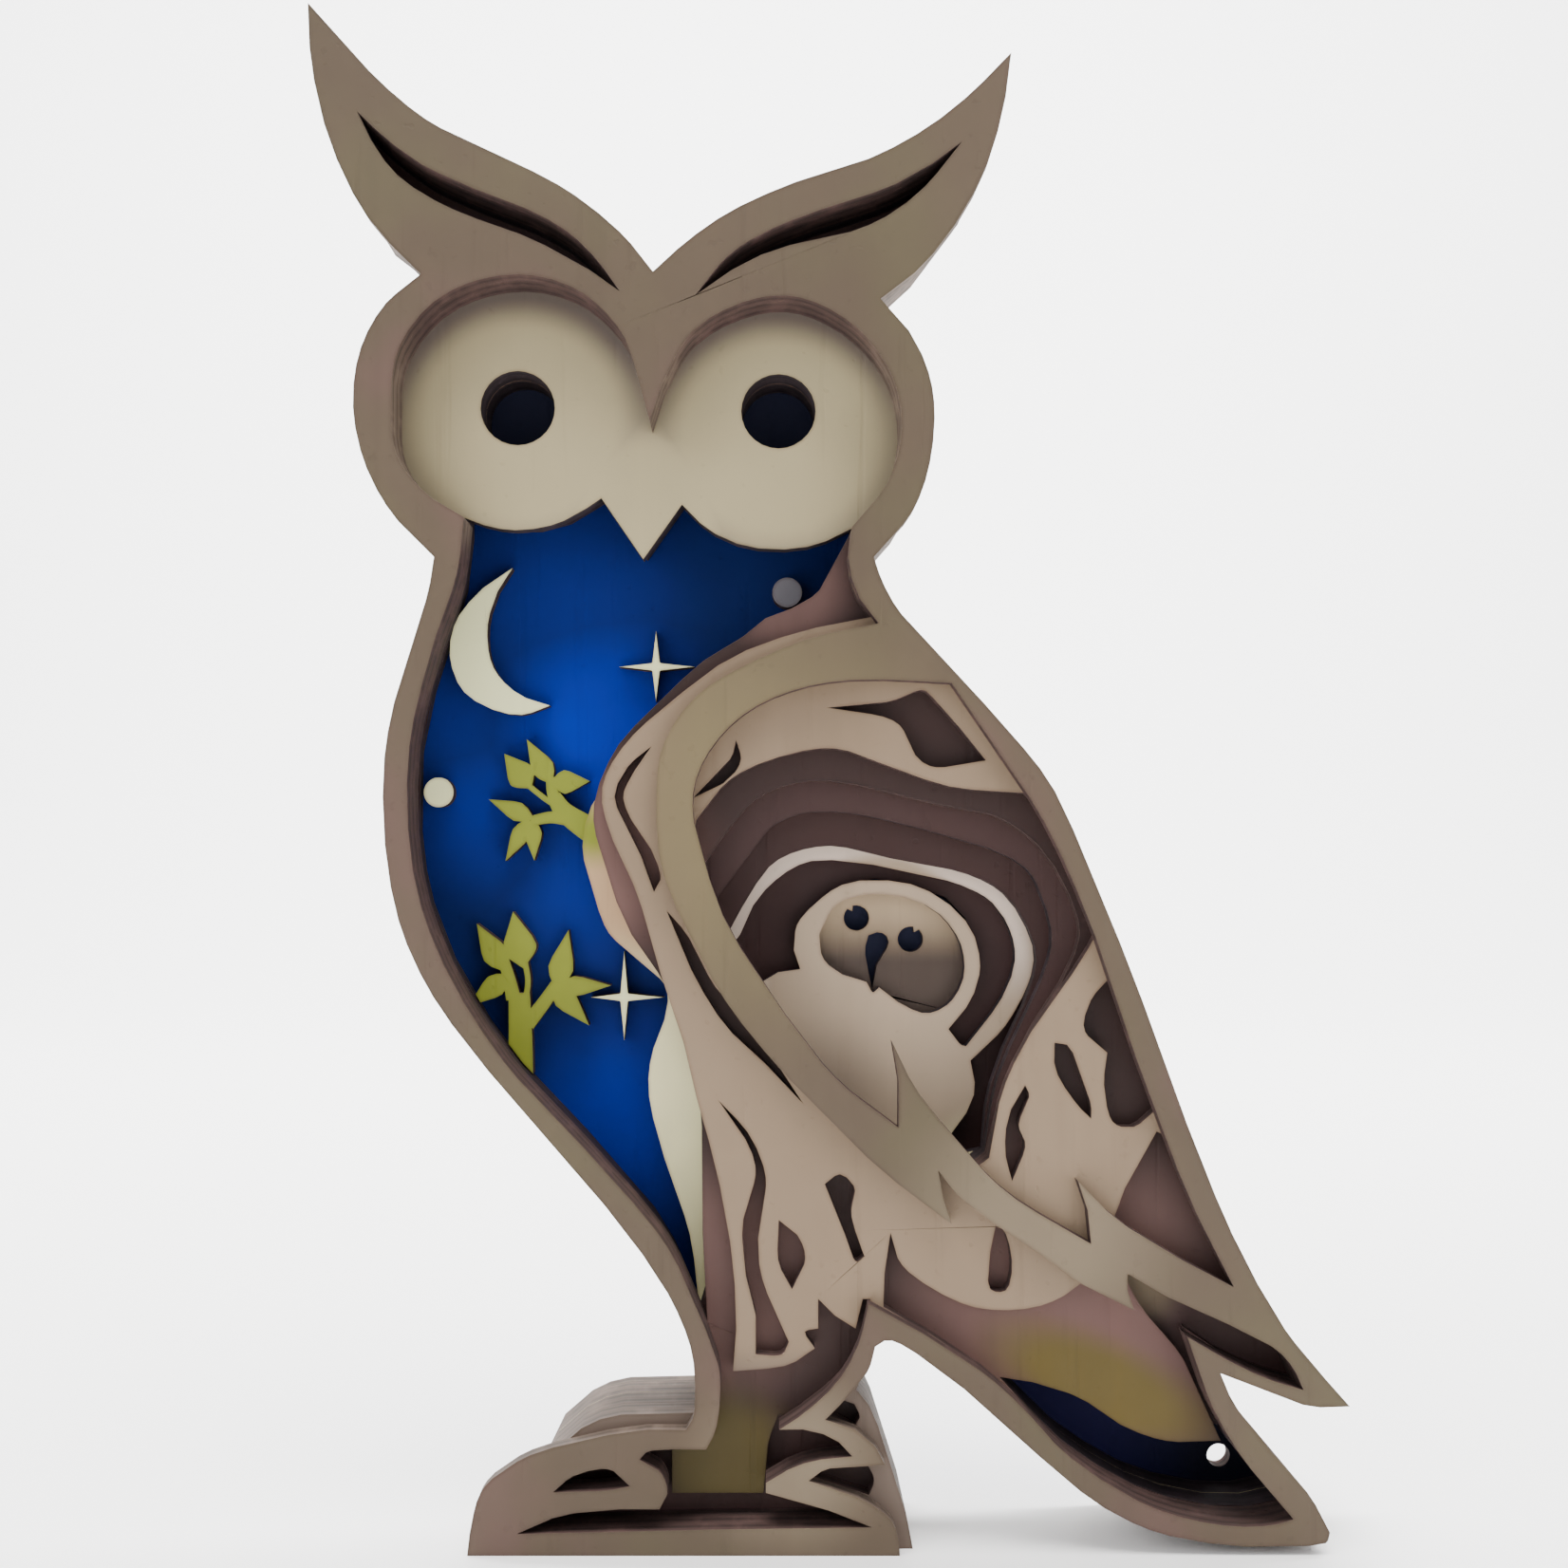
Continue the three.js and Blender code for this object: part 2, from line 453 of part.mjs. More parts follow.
const DARK_GAP = outline(
  [[33.5, 90.5], [32.5, 86], [28.5, 78.5], [23, 73]],
  [[23, 73], [23.7, 68.5], [22.5, 65], [20, 61.5]],
  [[20, 61.5], [20.5, 58.5], [25, 59]],
  [[25, 59], [28.5, 67], [32, 76], [35, 84], [35.5, 89], [33.5, 90.5]],
);
const OWLET_FACE = outline(
  [[-1, 93], [-0.5, 89.5], [2, 87], [6.5, 85.5]],
  [[6.5, 85.5], [7.5, 83.8], [8.5, 84.6]],
  [[8.5, 84.6], [11.5, 82.3], [16, 80.5], [19.5, 82], [21.7, 85.5], [22, 89], [21, 92.5], [17.5, 96.7],
    [12, 99], [6, 99.3], [1.5, 97.5], [-1, 93]],
);
const OWLET_CARD = hidden([[-2.6, 92.5], [-1.5, 88], [3, 84], [10, 81], [16, 79], [21, 81], [23.5, 86],
  [23.4, 92], [20, 97.5], [13, 100.5], [5.5, 101], [0, 98.5], [-2.6, 92.5]]);
const OWLET_BEAK = outline(
  [[7.6, 84.1], [7.1, 86.6], [6.6, 88.7], [6.5, 90.7], [7, 92.7]],
  [[7, 92.7], [8.4, 93.2], [9.7, 92.8], [10.2, 91.5], [9.4, 89.8], [8.4, 88.3], [8, 86.6], [7.6, 84.1]],
);
// A round eye with a small wedge left in at its upper side, which reads as a catch light.
function owletEye([x, z], towards) {
  const wedge = 0.26;
  const depth = 0.6 * EYE_HOLE;
  const path = new THREE.Path().absarc(x, z, EYE_HOLE, towards + wedge, towards - wedge + 2 * Math.PI);
  const inner = new THREE.Vector2(x + depth * Math.cos(towards), z + depth * Math.sin(towards));
  return [inner, ...path.getSpacedPoints(18)];
}

// ---- The sky on sheet 8: moon, stars, leafy twigs ----
const MOON = outline(
  [[-50, 151.5], [-55, 148], [-59, 143], [-60, 137.5], [-58, 132], [-53.5, 129], [-48.5, 128], [-44, 129.5]],
  [[-44, 129.5], [-49, 131.3], [-53, 135.5], [-54, 141.5], [-52.7, 147], [-50, 151.5]],
);
const STARS = {
  star_upper: { at: [-27, 135.7], up: 5.8, down: 5.7, left: 6, right: 6.3 },
  star_lower: { at: [-32.1, 82.8], up: 7.5, down: 7, left: 5.4, right: 6.5 },
};
const DOTS = { dot_left: [-61.8, 115.6], dot_right: [-6, 147.6] };
const DOT_RADIUS = 2.4;

const TWIGS = {
  leafy_branch: {
    stems: [
      [[[-34.5, 108], [-38.5, 110.2], [-41.8, 112.6], [-43.3, 115]], 4.8, 2.2],
      [[[-42.6, 113.6], [-43.6, 115.6], [-43.9, 118]], 2.2, 1.4],
      [[[-42.6, 113.2], [-44.8, 114.6], [-47.3, 116.6]], STALK, STALK],
      [[[-41.5, 111.4], [-44, 111.6], [-47, 111]], 2.2, 1.6],
    ],
    leaves: [
      [[-46.9, 116.2], [-51.3, 121.8], 4.6],
      [[-43.6, 116.8], [-47.7, 124.1], 3.6],
      [[-44, 117.2], [-37.6, 117.4], 3.8],
      [[-46.4, 111.3], [-53.8, 114.5], 3.1],
      [[-47.2, 111.6], [-51.1, 104.6], 2.9],
      [[-46.8, 111.6], [-46.5, 104.7], 2.8],
    ],
  },
  leafy_tree: {
    stems: [
      [[[-48.7, 68], [-48.7, 76], [-48.9, 83.5]], 4.2, 3.4],
      [[[-49.8, 82.5], [-50.6, 86], [-51.6, 89.5]], 2.4, 1.6],
      [[[-47.9, 82.5], [-47.5, 85.5], [-48.1, 89]], STALK, STALK],
      [[[-47.6, 78.5], [-45.2, 81.6], [-42.8, 85]], 2.4, 2],
    ],
    leaves: [
      [[-51, 86.8], [-55.7, 94.6], 4.1],
      [[-48.2, 87.4], [-49.9, 96.5], 5.4],
      [[-50.3, 86.6], [-57, 81.4], 3.6],
      [[-43, 83.8], [-41, 93.6], 4],
      [[-43.4, 84.5], [-34.2, 84.7], 3.2],
      [[-44, 85.2], [-37.7, 78.3], 3.6],
    ],
  },
};

// ---- Building ----
const group = new THREE.Group();

// Stands a drawn shape up: its height becomes Z, and its thickness runs towards the front.
const UPRIGHT = new THREE.Matrix4().makeBasis(
  new THREE.Vector3(1, 0, 0),
  new THREE.Vector3(0, 0, 1),
  new THREE.Vector3(0, -1, 0),
);

// A flat piece of one sheet. Its outline lies in X and Z, and it is one sheet thick in Y.
function prism(points, holes = []) {
  const shape = new THREE.Shape(THREE.ShapeUtils.isClockWise(points) ? points.toReversed() : points);
  shape.holes = holes.map((hole) => new THREE.Path(hole));
  const geometry = new THREE.ExtrudeGeometry(shape, { depth: SHEET, bevelEnabled: false });
  geometry.applyMatrix4(UPRIGHT);
  return geometry;
}

function toSolid(geometry) {
  const bare = geometry.clone();
  bare.deleteAttribute('normal');
  bare.deleteAttribute('uv');
  const merged = mergeVertices(bare, 1e-4);
  return new wasm.Manifold(new wasm.Mesh({
    numProp: 3,
    vertProperties: merged.attributes.position.array,
    triVerts: new Uint32Array(merged.index.array),
  }));
}

function toGeometry(solid) {
  const mesh = solid.getMesh();
  const geometry = new THREE.BufferGeometry();
  geometry.setAttribute('position', new THREE.BufferAttribute(mesh.vertProperties, 3));
  geometry.setIndex(new THREE.BufferAttribute(mesh.triVerts, 1));
  return geometry;
}

// Put a piece into the stack, in the sheet with this number, counted from the front.
function place(name, sheet, finish, geometry) {
  const [color, roughness] = FINISH[finish];
  const mesh = new THREE.Mesh(geometry, new THREE.MeshStandardMaterial({ color, roughness, metalness: 0 }));
  mesh.name = name;
  mesh.position.y = FRONT + sheet * SHEET;
  group.add(mesh);
}

const joined = (outlines) => outlines
  .map((points) => toSolid(prism(points)))
  .reduce((whole, piece) => whole.add(piece));

// The same, but reaching past both faces of its sheet, to cut with.
const throughCut = (outlines) => joined(outlines).scale([1, 2, 1]).translate([0, SHEET / 2, 0]);

function buildSheets() {
  const brows = [BROW_LEFT, BROW_RIGHT];
  const pupils = [circle(LEFT_EYE, PUPIL), circle(RIGHT_EYE, PUPIL)];

  place('front_frame', 1, 'tan', prism(FRONT_SILHOUETTE, [FRONT_OPENING, WING_WINDOW, TOE_SLOT, ...brows]));
  place('bark_trunk', 2, 'bark',
    prism(REAR_SILHOUETTE, [TRUNK_OPENING, TRUNK_TAIL, TRUNK_HOLLOW, TOE_SLOT, ...BARK_CUTS, ...brows]));
  place('mossy_wood', 3, 'brown',
    prism(REAR_SILHOUETTE, [WOOD_OPENING, WOOD_TAIL, WOOD_FOOT, WOOD_HOLLOW, ...brows]));

  const ringSheet = toSolid(prism(REAR_SILHOUETTE, [RING_2_HOLLOW, REAR_TAIL, ...brows]));
  const faceOpening = throughCut([grown(FACE_PLATE, FIT), RING_CHEST]);
  place('hollow_ring_outer', 4, 'mauve', toGeometry(ringSheet.subtract(faceOpening)));
  place('face_plate', 4, 'cream', prism(FACE_PLATE, pupils));

  place('hollow_ring_inner', 5, 'umber',
    prism(REAR_SILHOUETTE, [RING_CHEST, RING_3_HOLLOW, REAR_TAIL, ...pupils]));
  place('owlet_trunk', 6, 'cream',
    prism(REAR_SILHOUETTE, [OWLET_CHEST, RIM_OPENING, DARK_GAP, OWLET_FACE, REAR_TAIL, ...pupils]));
  place('hollow_back', 7, 'brown',
    prism(REAR_SILHOUETTE, [BACK_CHEST, grown(OWLET_CARD, 2 * FIT), REAR_TAIL, ...pupils]));
  place('owlet_face', 7, 'bark', prism(OWLET_CARD, [
    owletEye([5.05, 95.5], 2.1),
    owletEye([13.7, 92.1], 1.1),
    OWLET_BEAK,
  ]));
  place('night_board', 8, 'blue', prism(REAR_SILHOUETTE, [circle(CABLE_HOLE.at, CABLE_HOLE.radius)]));
}

function buildSky() {
  const sky = throughCut([grown(BACK_CHEST, -FIT)]);
  place('moon', 7, 'cream', prism(MOON));
  for (const [name, centre] of Object.entries(DOTS)) {
    place(name, 7, 'cream', prism(circle(centre, DOT_RADIUS)));
  }
  for (const [name, arms] of Object.entries(STARS)) {
    place(name, 7, 'cream', prism(star(arms)));
  }
  for (const [name, { stems, leaves }] of Object.entries(TWIGS)) {
    const pieces = [...stems.map((s) => stem(...s)), ...leaves.map((l) => leaf(...l))];
    place(name, 7, 'olive', toGeometry(joined(pieces).intersect(sky)));
  }
}

buildSheets();
buildSky();

export default group;
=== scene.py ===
# A layered plywood owl, standing on a pale floor in front of a pale wall.
import math

import bpy
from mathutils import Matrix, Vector

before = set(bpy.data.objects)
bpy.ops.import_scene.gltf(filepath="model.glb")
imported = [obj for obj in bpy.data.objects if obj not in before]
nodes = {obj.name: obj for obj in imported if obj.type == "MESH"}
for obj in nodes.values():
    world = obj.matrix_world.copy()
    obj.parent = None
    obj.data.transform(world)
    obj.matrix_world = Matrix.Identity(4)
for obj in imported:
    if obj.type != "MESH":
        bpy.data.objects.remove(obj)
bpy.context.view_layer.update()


MM = 0.001
SHEET = 0.003
STACK_FRONT = -0.012

scene = bpy.context.scene


# ---------------------------------------------------------------- node helpers
class Graph:
    """A short way to write a shader: every call adds one node and returns its output."""

    def __init__(self, name):
        self.material = bpy.data.materials.new(name)
        self.material.use_nodes = True
        self.tree = self.material.node_tree
        self.shader = self.tree.nodes["Principled BSDF"]
        self.coords = self.tree.nodes.new("ShaderNodeTexCoord").outputs["Object"]

    def put(self, socket, value):
        if isinstance(value, bpy.types.NodeSocket):
            self.tree.links.new(value, socket)
        elif hasattr(value, "__len__") and socket.type == "RGBA" and len(value) == 3:
            socket.default_value = (*value, 1)
        else:
            socket.default_value = value

    def math(self, operation, a, b=0.0, clamp=False):
        node = self.tree.nodes.new("ShaderNodeMath")
        node.operation = operation
        node.use_clamp = clamp
        for socket, value in zip(node.inputs, (a, b)):
            self.put(socket, value)
        return node.outputs[0]

    def span(self, value, low, high, to_low=0.0, to_high=1.0):
        node = self.tree.nodes.new("ShaderNodeMapRange")
        node.interpolation_type = "SMOOTHSTEP"
        for socket, v in zip(node.inputs, (value, low, high, to_low, to_high)):
            self.put(socket, v)
        return node.outputs["Result"]

    def mix(self, factor, a, b, blend="MIX"):
        node = self.tree.nodes.new("ShaderNodeMix")
        node.data_type = "RGBA"
        node.blend_type = blend
        self.put(node.inputs[0], factor)
        self.put(node.inputs[6], a)
        self.put(node.inputs[7], b)
        return node.outputs[2]

    def tint(self, colour, by):
        return self.mix(1.0, colour, by, "MULTIPLY")

    def times(self, colour, factor):
        return self.tint(colour, (factor, factor, factor))

    def xyz(self, vector=None):
        node = self.tree.nodes.new("ShaderNodeSeparateXYZ")
        self.put(node.inputs[0], vector or self.coords)
        return node.outputs

    def noise(
        self, scale, detail, rough, stretch=(1, 1, 1), turn=(0, 0, 0), distortion=0.0, at=(0, 0, 0)
    ):
        mapping = self.tree.nodes.new("ShaderNodeMapping")
        self.put(mapping.inputs["Vector"], self.coords)
        mapping.inputs["Location"].default_value = at
        mapping.inputs["Scale"].default_value = stretch
        mapping.inputs["Rotation"].default_value = turn
        node = self.tree.nodes.new("ShaderNodeTexNoise")
        self.put(node.inputs["Vector"], mapping.outputs[0])
        node.inputs["Scale"].default_value = scale
        node.inputs["Detail"].default_value = detail
        node.inputs["Roughness"].default_value = rough
        node.inputs["Distortion"].default_value = distortion
        return node.outputs["Fac"]

    def spot(self, x, z, radius, soft=1.0, squash=1.0, tilt=0.0):
        """1 at a point of the owl's face, falling to 0 at the radius; millimetres."""
        px, _, pz = self.xyz()
        c, s = math.cos(tilt), math.sin(tilt)
        dx = self.math("SUBTRACT", px, x * MM)
        dz = self.math("SUBTRACT", pz, z * MM)
        u = self.math("ADD", self.math("MULTIPLY", dx, c), self.math("MULTIPLY", dz, s))
        v = self.math("SUBTRACT", self.math("MULTIPLY", dz, c), self.math("MULTIPLY", dx, s))
        v = self.math("MULTIPLY", v, squash)
        squares = self.math("ADD", self.math("MULTIPLY", u, u), self.math("MULTIPLY", v, v))
        return self.span(self.math("SQRT", squares), radius * MM * (1 - soft), radius * MM, 1, 0)

    def facing(self):
        """1 on the flat faces of a sheet, 0 on its cut edge."""
        geometry = self.tree.nodes.new("ShaderNodeNewGeometry")
        y = self.xyz(geometry.outputs["True Normal"])[1]
        return self.span(self.math("ABSOLUTE", y), 0.5, 0.8)

    def bump(self, height, distance, strength):
        node = self.tree.nodes.new("ShaderNodeBump")
        self.put(node.inputs["Height"], height)
        node.inputs["Distance"].default_value = distance
        node.inputs["Strength"].default_value = strength
        return node.outputs[0]


BURNT = (0.055, 0.031, 0.027)
GRAIN_TILT = (0, math.radians(3), 0)
FIGURE_TILT = (0, math.radians(-4), 0)
SMOKE_REACH = 1.1 * MM
SMOKE_TINT = (0.55, 0.46, 0.42)
LIGHT_GRAIN = (1.22, 1.20, 1.16)
DARK_GRAIN = (0.72, 0.70, 0.68)
EDGE_ROUGHNESS = (0.8, 0.8, 0.8)
RELIEF = 0.1 * MM


def painted_ply(name, paint, front, rough=0.62, grain=0.5, edge=BURNT, gloss=0.3):
    """Thin paint over plywood: the grain reads through it, and the burnt edge shows its plies."""
    g = Graph(name)
    # Each material starts its noises elsewhere, so that no two sheets share a pattern.
    seed = sum(map(ord, name)) % 97
    at = (seed * 0.37, seed * 0.11, seed * 0.73)
    y = g.xyz()[1]

    fibres = g.noise(95, 6, 0.65, (1, 1, 0.055), GRAIN_TILT, 0.4, at)
    figure = g.noise(34, 3, 0.5, (1, 1, 0.16), FIGURE_TILT, 1.6, at)
    pores = g.span(g.noise(420, 2, 0.5, (1, 1, 0.05), GRAIN_TILT, 0, at), 0.60, 0.72)
    cloud = g.noise(16, 4, 0.55, at=at)
    mottle = g.noise(70, 4, 0.6, at=at)
    speck = g.span(g.noise(620, 1, 0.4, at=at), 0.70, 0.78)

    face = paint(g) if callable(paint) else paint
    light = g.tint(face, LIGHT_GRAIN)
    dark = g.tint(face, DARK_GRAIN)
    face = g.mix(g.math("MULTIPLY", g.span(fibres, 0.52, 0.75), 0.55 * grain), face, light)
    face = g.mix(g.math("MULTIPLY", g.span(figure, 0.5, 0.3), 0.6 * grain), face, dark)
    face = g.mix(g.math("MULTIPLY", pores, 0.5 * grain), face, dark)
    face = g.mix(g.math("MULTIPLY", g.span(cloud, 0.42, 0.7), 0.35), face, dark)
    face = g.mix(g.math("MULTIPLY", g.span(mottle, 0.55, 0.72), 0.16), face, light)
    face = g.mix(g.math("MULTIPLY", speck, 0.25), face, dark)

    # Smoke from the cutter darkens the last millimetre of the face beside an edge.
    bevel = g.tree.nodes.new("ShaderNodeBevel")
    bevel.samples = 6
    bevel.inputs["Radius"].default_value = SMOKE_REACH
    geometry = g.tree.nodes.new("ShaderNodeNewGeometry")
    dot = g.tree.nodes.new("ShaderNodeVectorMath")
    dot.operation = "DOT_PRODUCT"
    g.put(dot.inputs[0], bevel.outputs[0])
    g.put(dot.inputs[1], geometry.outputs["Normal"])
    near_edge = g.span(dot.outputs["Value"], 0.999, 0.80)
    smoke = g.math("MULTIPLY", near_edge, g.span(mottle, 0.3, 0.65, 0.25, 0.8))
    face = g.mix(smoke, face, g.tint(face, SMOKE_TINT))

    # The cut edge: three plies, the middle one darker, charred unevenly.
    depth = g.math("DIVIDE", g.math("SUBTRACT", y, front), SHEET)
    ply = g.math("MULTIPLY", g.span(depth, 0.30, 0.36), g.span(depth, 0.70, 0.64))
    char = g.noise(210, 5, 0.6, (1, 0.2, 1), at=at)
    scorch = g.noise(40, 3, 0.5, (1, 0.4, 1), at=at)
    wood = edge(g) if callable(edge) else edge
    cut = g.mix(ply, wood, g.times(wood, 0.6))
    cut = g.mix(g.math("MULTIPLY", g.span(char, 0.45, 0.7), 0.45), cut, g.times(wood, 2.0))
    cut = g.mix(g.math("MULTIPLY", g.span(scorch, 0.5, 0.68), 0.45), cut, g.times(wood, 0.35))

    flat = g.facing()
    g.put(g.shader.inputs["Base Color"], g.mix(flat, cut, face))

    roughness = rough
    for pattern, share in ((mottle, 0.22), (fibres, 0.16)):
        change = g.math("MULTIPLY", g.math("SUBTRACT", pattern, 0.5), share)
        roughness = g.math("ADD", roughness, change)
    g.put(g.shader.inputs["Roughness"], g.mix(flat, EDGE_ROUGHNESS, roughness))
    g.shader.inputs["Specular IOR Level"].default_value = gloss

    grain_height = g.math("MULTIPLY", fibres, 0.7)
    for pattern, share in ((pores, -0.6), (speck, -0.4)):
        grain_height = g.math("ADD", grain_height, g.math("MULTIPLY", pattern, share))
    edge_height = g.math("ADD", char, g.math("MULTIPLY", ply, -0.5))
    height = g.tree.nodes.new("ShaderNodeMix")
    g.put(height.inputs[0], flat)
    g.put(height.inputs[2], edge_height)
    g.put(height.inputs[3], grain_height)
    g.put(g.shader.inputs["Normal"], g.bump(height.outputs[0], RELIEF, 0.6))
    return g.material


# ---------------------------------------------------------------- colours
# Scene-linear paint colours; the ones that end in EDGE are for cut wood.
TAN = (0.072, 0.050, 0.031)
TAN_WING = (0.132, 0.102, 0.048)
TAN_PALE = (0.180, 0.138, 0.090)
OLIVE_TAN = (0.075, 0.058, 0.031)
ROSY_TAN = (0.083, 0.049, 0.037)
BARK = (0.192, 0.135, 0.086)
BARK_FOOT_SHADE = (0.105, 0.075, 0.057)
BROWN = (0.023, 0.0087, 0.0069)
ROSE = (0.110, 0.056, 0.047)
MAUVE = (0.037, 0.0155, 0.0136)
UMBER = (0.027, 0.0089, 0.0071)
RIM_BACK = (0.027, 0.0080, 0.0067)
FACE_CREAM = (0.306, 0.256, 0.145)
CREAM = (0.820, 0.760, 0.430)
PEACH = (0.510, 0.325, 0.180)
PALE = (0.341, 0.257, 0.178)
RIM_CREAM = (0.560, 0.450, 0.370)
MOON_WHITE = (0.880, 0.880, 0.500)
DOT_SHADE = (0.150, 0.140, 0.155)
OLIVE = (0.212, 0.239, 0.020)
MOSS = (0.086, 0.059, 0.0100)
MOSS_LEG = (0.049, 0.034, 0.0046)
HOLE_SHADE = (0.0192, 0.021, 0.046)
WASHED_EDGE = (0.095, 0.068, 0.052)
SHADOW_EDGE = (0.028, 0.018, 0.021)
SOCKET_EDGE = (0.120, 0.086, 0.064)

SLOT_LIGHT = (0.120, 0.085, 0.048)
SOCKET_SHADOW = (0.095, 0.074, 0.062)
LOW_OWLET_SHADE = (0.190, 0.145, 0.110)
MASK_BROW = (0.400, 0.295, 0.185)
MASK_CHEEK = (0.060, 0.040, 0.030)
SKY_DEEP = (0.003, 0.011, 0.078)
SKY_BLUE = (0.0014, 0.024, 0.38)
TAIL_NAVY = (0.012, 0.011, 0.060)
TAIL_TIP = (0.006, 0.006, 0.014)
PAPER = (0.96, 0.957, 0.950)


def tan(g):
    """Greyish tan with olive and rosy clouds, lighter along the wing and on the toes."""
    cloud = g.noise(26, 3, 0.5, at=(3, 1, 7))
    paint = g.mix(g.span(cloud, 0.5, 0.68), TAN, OLIVE_TAN)
    paint = g.mix(g.span(cloud, 0.48, 0.34), paint, ROSY_TAN)
    wing = g.spot(-14, 112, 44, 0.8)
    paint = g.mix(g.math("MULTIPLY", wing, 0.8), paint, TAN_WING)
    pale = g.math("MAXIMUM", g.spot(32, 50, 26, 0.8), g.spot(-6, 14, 18, 0.8))
    return g.mix(g.math("MULTIPLY", pale, 0.75), paint, TAN_PALE)


def bark(g):
    """Pale on the trunk; browner paint and painted shade towards the foot, under the front toes."""
    # Towards the foot: a browner paint, with painted shade where the front sheet's toes overhang.
    foot = g.span(g.xyz()[2], 0.032, 0.024)
    return g.mix(foot, BARK, BARK_FOOT_SHADE)


def mossy(g):
    """Dark brown, rosy beside the trunk and on the tail, sprayed with moss green."""
    rosy = g.math("MAXIMUM", g.spot(36, 36, 34, 0.6), g.spot(-33, 106, 20, 0.7))
    for x, z, radius, share in ((-17, 40, 24, 0.75), (-6, 146, 12, 0.6)):
        rosy = g.math("MAXIMUM", rosy, g.math("MULTIPLY", g.spot(x, z, radius, 0.6), share))
    tail = g.spot(42, 24, 24, 0.6, 2.6, math.radians(-24))
    paint = g.mix(tail, g.mix(rosy, BROWN, ROSE), MOSS)
    return g.mix(g.spot(-16, 12, 15, 0.6), paint, MOSS_LEG)


def ring_mauve(g):
    """Mauve brown, with painted light in olive brown at the root of the wing tip's slot."""
    # Painted light: a lighter olive brown patch where light falls into the slot.
    return g.mix(g.spot(48, 39, 9, 0.8), MAUVE, SLOT_LIGHT)


def face_cream(g):
    """Cream discs and beak, with painted shade towards the upper rim of both eye sockets."""
    discs = g.math("MAXIMUM", g.spot(-47.5, 172.8, 19.6, 0.28), g.spot(-7.7, 170.4, 19.2, 0.28))
    open_face = g.math("MAXIMUM", discs, g.spot(-28, 159, 15, 0.4))
    # Painted shade under the overhang of the front sheets, strongest at the top.
    upper = g.span(g.xyz()[2], 0.168, 0.186, 0.55, 1.0)
    shadow = g.math("MULTIPLY", g.math("SUBTRACT", 1.0, open_face), upper)
    return g.mix(shadow, FACE_CREAM, SOCKET_SHADOW)


def owlet_cream(g):
    """Cream at the trunk's foot, peach above it, greyer on the owlet, light on its rim; painted
    shade low on it.
    """
    trunk = g.mix(g.span(g.xyz()[2], 0.078, 0.096), CREAM, PEACH)
    trunk = g.mix(g.spot(-37, 109, 7, 0.9), trunk, OLIVE)
    paint = g.mix(g.spot(8, 88, 36, 0.3), trunk, PALE)
    rim = g.math("SUBTRACT", g.spot(8, 88, 26, 0.12), g.spot(8, 88, 18.5, 0.12))
    paint = g.mix(g.math("MULTIPLY", rim, g.span(g.xyz()[2], 0.080, 0.092)), paint, RIM_CREAM)
    # Painted shade low on the owlet's body, beside the overhanging wing band of the front sheet.
    low = g.math("MULTIPLY", g.spot(-2, 66, 17, 0.8), 0.7)
    return g.mix(low, paint, LOW_OWLET_SHADE)


def owlet_mask(g):
    """The owlet's face: light at the brow, brown from the eyes down, with painted shade round its
    edge.
    """
    z = g.xyz()[2]
    lower = g.span(z, 0.0980, 0.0880)
    # Painted shade round the edge of the face, where the wall of the window in front of it stands.
    rim_shade = g.math("SUBTRACT", 1.0, g.spot(8.5, 93.5, 14, 0.3))
    return g.mix(g.math("MAXIMUM", lower, rim_shade), MASK_BROW, MASK_CHEEK)


# Each patch of painted light on the blue board: x, z and radius in millimetres, and its share of
# the full blue.
SKY_LIGHT_PATCHES = (
    (-54, 112, 18, 0.5),
    (-30, 64, 26, 0.8),
    (-42, 146, 26, 0.25),
    (-36, 100, 22, 0.5),
    (-58, 128, 16, 0.3),
)


def night(g):
    """Deep blue with patches of painted light, and painted shade, near black, behind the pupils and
    the owlet.
    """
    # Painted light: patches of brighter blue on the board.
    painted_light = g.spot(-36, 125, 25, 0.95)
    for x, z, radius, share in SKY_LIGHT_PATCHES:
        painted_light = g.math("MAXIMUM", painted_light, g.math("MULTIPLY", g.spot(x, z, radius, 0.95), share))
    cloud = g.span(g.noise(30, 4, 0.6), 0.3, 0.7)
    uneven = g.math("ADD", 0.8, g.math("MULTIPLY", cloud, 0.25))
    paint = g.mix(g.math("MULTIPLY", painted_light, uneven, clamp=True), SKY_DEEP, SKY_BLUE)
    paint = g.mix(g.spot(36, 20, 34, 0.6), paint, TAIL_NAVY)
    paint = g.mix(g.spot(68, 6, 26, 0.8), paint, TAIL_TIP)
    # Painted shade: near black on the board behind the pupil holes and behind the owlet's eye
    # holes.
    black = g.math("MAXIMUM", g.spot(-48, 175, 10, 0.2), g.spot(-7.5, 174.5, 10, 0.2))
    return g.mix(g.math("MAXIMUM", g.spot(9, 90, 24, 0.3), black), paint, HOLE_SHADE)


def socket_edge(g):
    """The front sheets' cut edge: burnt brown, washed tan at the sides of the eye sockets."""
    z = g.xyz()[2]
    side = g.math("MULTIPLY", g.span(z, 0.150, 0.156), g.span(z, 0.188, 0.176))
    return g.mix(side, BURNT, SOCKET_EDGE)


def front_of(layer):
    return STACK_FRONT + (layer - 1) * SHEET


def finish(name, paint, layer, **look):
    return painted_ply(f"{name}_paint", paint, front_of(layer), **look)


